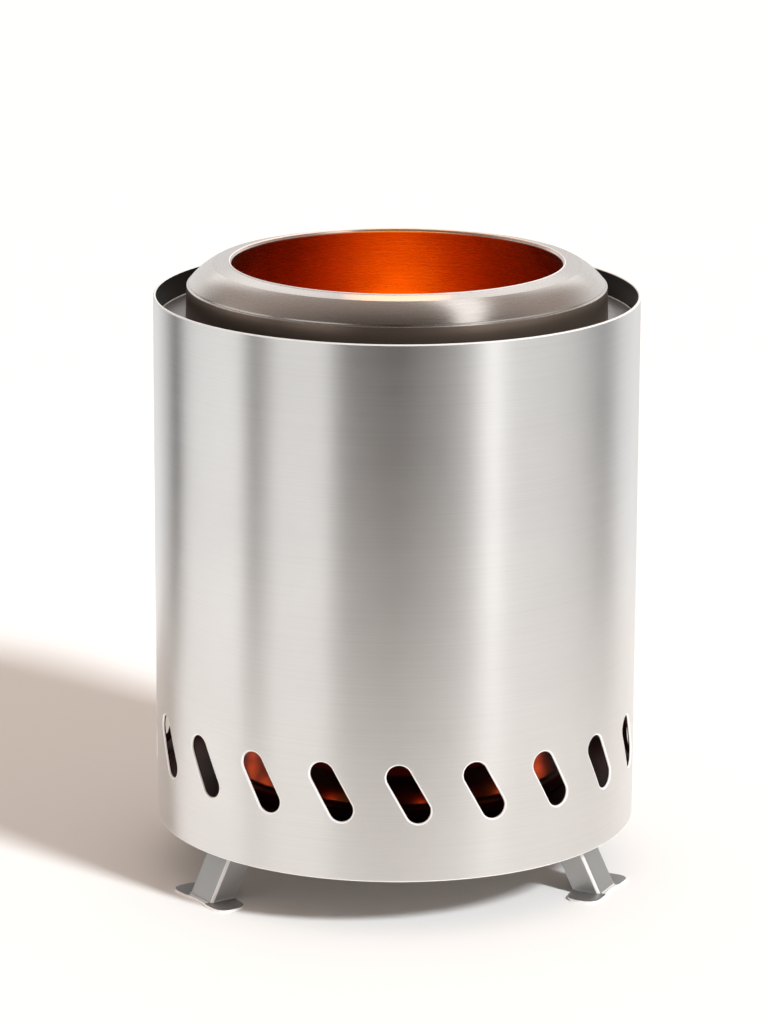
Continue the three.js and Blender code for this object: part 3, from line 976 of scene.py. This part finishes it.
def make_steels():
    # Soot colour on the chamber's outer wall and below the chamber's floor, which also paints the shade there
    soot_and_shade_below = (floor_low.z + SHEET / 2) * MM
    chamber = ((chamber_high.x - 20) * MM, FLANGE * MM, (CHAMBER_BORE + SHEET / 2) * MM, soot_and_shade_below)
    collar = ((CHAMBER_BORE - COLLAR_PLAY) * MM, (RING_TOP - RING_LIP) * MM, DRUM_RADIUS * MM, soot_and_shade_below)
    # Painted shade in the air room: soot colour below the flange's underside
    air_room = (2 * DRUM_RADIUS * MM, (FLANGE - SHEET) * MM, 0, soot_and_shade_below)
    return {
        "brushed_shell": steel(
            "brushed_shell", (0.76, 0.75, 0.735), (0.73, 0.72, 0.705), (0.28, 0.35),
            grain=(14, 14, 2000), anisotropy=0.85, bump=0.06, streaks=0.03),
        "ring_steel": steel(
            "ring_steel", (0.67, 0.62, 0.58), (0.62, 0.57, 0.53), (0.24, 0.30),
            grain=(40, 40, 3000), anisotropy=0.75, bump=0.02, heat=collar),
        "heated_steel": steel(
            "heated_steel", (0.40, 0.38, 0.37), (0.34, 0.32, 0.31), (0.32, 0.42),
            grain=(300, 300, 900), bump=0.03, heat=chamber, metal=0.6),
        "leg_steel": steel(
            "leg_steel", (0.43, 0.42, 0.41), (0.39, 0.38, 0.37), (0.36, 0.42),
            grain=(500, 500, 500), bump=0.01, metal=0.85),
        "plain_steel": steel(
            "plain_steel", (0.50, 0.49, 0.48), (0.44, 0.43, 0.42), (0.34, 0.46),
            grain=(700, 700, 700), bump=0.03),
        # Near white: a painted highlight on the slots' rims, the drum's ends, the legs' bends, lips and edges, and
        # the beads
        "painted_highlight": steel(
            "painted_highlight", (0.98, 0.96, 0.94), (0.95, 0.93, 0.91), (0.5, 0.6),
            grain=(700, 700, 700), bump=0.01, metal=0.5),
        # Dark brown: painted shade on the ring's skirt in the gutter
        "painted_shade_skirt": steel(
            "painted_shade_skirt", (0.25, 0.19, 0.15), (0.20, 0.15, 0.12), (0.30, 0.38),
            grain=(40, 40, 2000), bump=0.02, metal=0.85),
        # Near black, soot-coloured below the flange: painted shade inside the drum, on the base plate's top and on
        # the heat shield
        "painted_shade_inside": steel(
            "painted_shade_inside", (0.075, 0.068, 0.062), (0.055, 0.05, 0.046), (0.4, 0.5),
            grain=(14, 14, 3000), bump=0.03, heat=air_room),
    }


# Camera, fitted to the photograph
CAMERA_PLACE = (-0.0044, -1.6574, 0.5621)
CAMERA_PITCH = math.radians(14.46)
CAMERA_ROLL = math.radians(0.241)
CAMERA_LENS = 162.8
SENSOR = 36.0


def make_camera():
    data = bpy.data.cameras.new("camera")
    data.lens = CAMERA_LENS
    data.sensor_width = SENSOR
    data.sensor_height = SENSOR
    data.sensor_fit = "AUTO"
    camera = bpy.data.objects.new("camera", data)
    tilt = Matrix.Rotation(math.pi / 2 - CAMERA_PITCH, 4, "X")
    camera.matrix_world = Matrix.Translation(CAMERA_PLACE) @ tilt @ Matrix.Rotation(CAMERA_ROLL, 4, "Z")
    bpy.context.scene.collection.objects.link(camera)
    bpy.context.scene.camera = camera


# Floor
FLOOR_HALF = 4.0
FLOOR_COLOUR = (0.87, 0.845, 0.82)
FLOOR_ROUGHNESS = 0.9
FLOOR_GLOSS = 0.1

# Key light, its azimuth from the front towards +X
KEY_AZIMUTH = math.radians(46)
KEY_ELEVATION = math.radians(36)
KEY_SOFTNESS = math.radians(9)
KEY_POWER = 4.0
KEY_COLOUR = (0.85, 0.91, 0.95)

# The fire's light: heights from the ground, the ring's top and the heat shield's top
FIRE_RISE = 110.0
FIRE_RADIUS = 35.0
FIRE_POWER = 0.65
FIRE_COLOUR = (1.0, 0.72, 0.04)
FLAME_RISE = 22.0
FLAME_RADIUS = 22.0
FLAME_POWER = 0.046
FLAME_COLOUR = (1.0, 0.36, 0.05)
EMBER_COUNT = SLOT_COUNT
EMBER_RADIUS = 54.0
EMBER_RISE = 6.0
EMBER_SIZE = 1.5
EMBER_POWER = 0.0012
EMBER_COLOUR = (1.0, 0.14, 0.03)

# What the steel mirrors, as greys by azimuth in degrees from the front towards +X
STUDIO_BANDS = (
    (-180, 0.80), (-154, 0.90), (-138, 0.6), (-127, 0.04), (-116, 0.85), (-106, 0.9), (-90, 0.95), (-79, 1.0),
    (-74, 0.4), (-70, 0.12), (-65, 0.4), (-58, 0.90), (-45, 0.9), (-34, 0.95), (-29, 0.45), (-23, 0.15), (0, 0.01),
    (11, 0.12), (22, 0.24), (33, 0.5), (40, 1.0), (46, 1.55), (52, 1.0), (59, 0.86), (80, 0.78),
    (95, 0.64), (114, 0.36), (122, 0.5), (132, 0.82), (150, 0.90), (180, 0.80),
)

# The rest of the studio, in metres
ABOVE_BEHIND = (0.42, 0.36, 0.33)
ABOVE_AHEAD = (0.07, 0.055, 0.045)
AMBIENT = (0.68, 0.58, 0.52)
SURROUND_RADIUS = 0.44
SURROUND_HEIGHT = 0.35
SURROUND_STEPS = 180
CARD_FOOT_LIGHT = 1.15
CARD_FOOT_HEIGHT = 0.14
LOW_SKY = 0.25
HIGH_SKY = 0.55
SKY_AHEAD = -0.4
SKY_BEHIND = 0.35
BACK_BOX = ((-0.5, 0.9, 0.55), (0.5, 0.9, 0.55), (0.5, 0.8, 1.1), (-0.5, 0.8, 1.1))
BACK_BOX_LIGHT = 1.3
STRIP = ((0.04, 0.61, 1.13), (0.48, -0.60, 1.09), (0.67, -0.53, 1.09), (0.23, 0.68, 1.13))
STRIP_LIGHT = 1.6
BAND_SHIFT_RATE = 0.556  # fits the shift from the drum's middle to its surface over half a turn


def make_floor():
    half = FLOOR_HALF
    corners = [(-half, -half, 0), (half, -half, 0), (half, half, 0), (-half, half, 0)]
    mesh = bpy.data.meshes.new("floor")
    mesh.from_pydata(corners, [], [(0, 1, 2, 3)])
    floor = bpy.data.objects.new("floor", mesh)
    bpy.context.scene.collection.objects.link(floor)
    material = bpy.data.materials.new("pale_floor")
    material.use_nodes = True
    shader = material.node_tree.nodes["Principled BSDF"]
    shader.inputs["Base Color"].default_value = (*FLOOR_COLOUR, 1)
    shader.inputs["Roughness"].default_value = FLOOR_ROUGHNESS
    shader.inputs["Specular IOR Level"].default_value = FLOOR_GLOSS
    mesh.materials.append(material)


def make_key():
    """One soft key light from the front right, at an azimuth from the front towards +X."""
    data = bpy.data.lights.new("key", "SUN")
    data.energy = KEY_POWER
    data.angle = KEY_SOFTNESS
    data.color = KEY_COLOUR
    light = bpy.data.objects.new("key", data)
    flat = math.cos(KEY_ELEVATION)
    source = Vector((flat * math.sin(KEY_AZIMUTH), -flat * math.cos(KEY_AZIMUTH), math.sin(KEY_ELEVATION)))
    light.matrix_world = (-source).to_track_quat("-Z", "Y").to_matrix().to_4x4()
    light.visible_glossy = False
    bpy.context.scene.collection.objects.link(light)


def make_glow(name, place, radius, power, colour):
    """A part of the fire's light inside the stove."""
    data = bpy.data.lights.new(name, "POINT")
    data.energy = power
    data.shadow_soft_size = radius * MM
    data.color = colour
    glow = bpy.data.objects.new(name, data)
    glow.location = place * MM
    bpy.context.scene.collection.objects.link(glow)


def studio_bands(nodes, way, nearness=0.0):
    """The studio's grey for a direction, or for a card's place when the drum's radius is so near its own."""
    parts = nodes.add("ShaderNodeSeparateXYZ")
    nodes.link(way, parts.inputs["Vector"])
    backwards = nodes.math("MULTIPLY", parts.outputs["Y"], -1.0)
    azimuth = nodes.math("ARCTAN2", parts.outputs["X"], backwards)
    shift = nodes.math("SINE", nodes.math("MULTIPLY", azimuth, BAND_SHIFT_RATE))
    azimuth = nodes.math("ADD", azimuth, nodes.math("MULTIPLY", shift, nearness))
    share = nodes.math("ADD", nodes.math("DIVIDE", azimuth, math.tau), 0.5)
    peak = max(grey for _, grey in STUDIO_BANDS)
    stops = [(0.5 + angle / 360, (grey / peak,) * 3) for angle, grey in STUDIO_BANDS]
    bright = nodes.add("ShaderNodeVectorMath", operation="SCALE")
    nodes.link(nodes.ramp(share, stops), bright.inputs[0])
    bright.inputs["Scale"].default_value = peak
    return bright.outputs["Vector"], parts


def make_world():
    """An even light for the floor, and the studio's bands for what the steel mirrors."""
    world = bpy.data.worlds.new("studio")
    world.use_nodes = True
    bpy.context.scene.world = world
    nodes = Nodes(world.node_tree)
    output = nodes.add("ShaderNodeOutputWorld")
    mirrored = nodes.add("ShaderNodeBackground")
    bands, way = studio_bands(nodes, nodes.add("ShaderNodeTexCoord").outputs["Generated"])
    above = nodes.spread(way.outputs["Z"], 0.0, 1.0, LOW_SKY, HIGH_SKY)
    backwards = nodes.spread(way.outputs["Y"], 0.0, 1.0, SKY_AHEAD, SKY_BEHIND)
    ceiling = nodes.ramp(backwards, ((0, ABOVE_AHEAD), (1, ABOVE_BEHIND)))
    nodes.link(nodes.mix(above, bands, ceiling), mirrored.inputs["Color"])
    even = nodes.add("ShaderNodeBackground")
    even.inputs["Color"].default_value = (*AMBIENT, 1)
    choice = nodes.add("ShaderNodeMixShader")
    nodes.link(nodes.add("ShaderNodeLightPath").outputs["Is Diffuse Ray"], choice.inputs["Fac"])
    nodes.link(mirrored.outputs["Background"], choice.inputs[1])
    nodes.link(even.outputs["Background"], choice.inputs[2])
    nodes.link(choice.outputs["Shader"], output.inputs["Surface"])


def card(name, places, faces):
    """A studio card that is seen only in the steel. Gives its node tree and its light."""
    mesh = bpy.data.meshes.new(name)
    mesh.from_pydata(places, [], faces)
    board = bpy.data.objects.new(name, mesh)
    bpy.context.scene.collection.objects.link(board)
    material = bpy.data.materials.new(f"{name}_light")
    material.use_nodes = True
    nodes = Nodes(material.node_tree)
    output = nodes.add("ShaderNodeOutputMaterial")
    glow = nodes.add("ShaderNodeEmission")
    nodes.link(glow.outputs["Emission"], output.inputs["Surface"])
    mesh.materials.append(material)
    board.visible_camera = False
    board.visible_diffuse = False
    board.visible_shadow = False
    board.visible_transmission = False
    return nodes, glow


def make_boxes():
    """Two soft boxes: one behind and above, and a strip that runs over the stove to its right."""
    for name, corners, light in (("back_box", BACK_BOX, BACK_BOX_LIGHT), ("strip", STRIP, STRIP_LIGHT)):
        _, glow = card(name, corners, [(0, 1, 2, 3)])
        glow.inputs["Strength"].default_value = light


def make_surround():
    """Studio cards round the stove with the same bands."""
    steps = SURROUND_STEPS
    places = []
    for i in range(steps):
        angle = math.tau * i / steps
        for height in (0, SURROUND_HEIGHT):
            places.append((SURROUND_RADIUS * math.cos(angle), SURROUND_RADIUS * math.sin(angle), height))
    faces = []
    for i in range(steps):
        a, b = 2 * i, 2 * ((i + 1) % steps)
        faces.append((a, b, b + 1, a + 1))
    nodes, glow = card("surround", places, faces)
    nearness = DRUM_RADIUS * MM / SURROUND_RADIUS
    bands, place = studio_bands(nodes, nodes.add("ShaderNodeTexCoord").outputs["Object"], nearness)
    nodes.link(bands, glow.inputs["Color"])
    light = nodes.spread(place.outputs["Z"], CARD_FOOT_LIGHT, 1.0, 0.0, CARD_FOOT_HEIGHT)
    nodes.link(light, glow.inputs["Strength"])


def make_fire():
    """The light of the burning wood, of the flames over the ring, and of embers behind the slots."""
    make_glow("fire", Vector((0, 0, FIRE_RISE)), FIRE_RADIUS, FIRE_POWER, FIRE_COLOUR)
    make_glow("flames", Vector((0, 0, RING_TOP + FLAME_RISE)), FLAME_RADIUS, FLAME_POWER, FLAME_COLOUR)
    for i in range(EMBER_COUNT):
        place = around(EMBER_RADIUS, shield_high.z + EMBER_RISE, SLOT_FIRST + math.tau * (i + 0.4) / EMBER_COUNT)
        make_glow(f"ember_{i + 1}", place, EMBER_SIZE, EMBER_POWER, EMBER_COLOUR)


def main():
    bpy.context.scene.view_settings.view_transform = "Standard"
    make_camera()
    steels = make_steels()
    dress(outer_shell(), "drum", "outer_shell", "brushed_shell", steels, ("painted_highlight", "painted_shade_inside"))
    dress(base_plate(), "drum", "base_plate", "plain_steel", steels, ("painted_shade_inside",))
    dress(heat_shield(), "drum", "heat_shield", "heated_steel", steels, ("painted_shade_inside",))
    dress(burn_chamber(), "drum", "burn_chamber", "heated_steel", steels, ("painted_highlight",))
    dress(chamber_floor(), "drum", "chamber_floor", "heated_steel", steels)
    dress(ash_pan(), "ash_pan", "ash_pan", "heated_steel", steels)
    dress(fuel_grate(), "fuel_grate", "fuel_grate", "heated_steel", steels)
    dress(flame_ring(), "flame_ring", "flame_ring", "ring_steel", steels, ("painted_highlight", "painted_shade_skirt"))
    for i, name in enumerate(LEG_NAMES):
        leg_station(name, LEG_FIRST + math.tau * i / len(LEG_NAMES), steels)
    make_floor()
    make_world()
    make_surround()
    make_boxes()
    make_key()
    make_fire()


main()
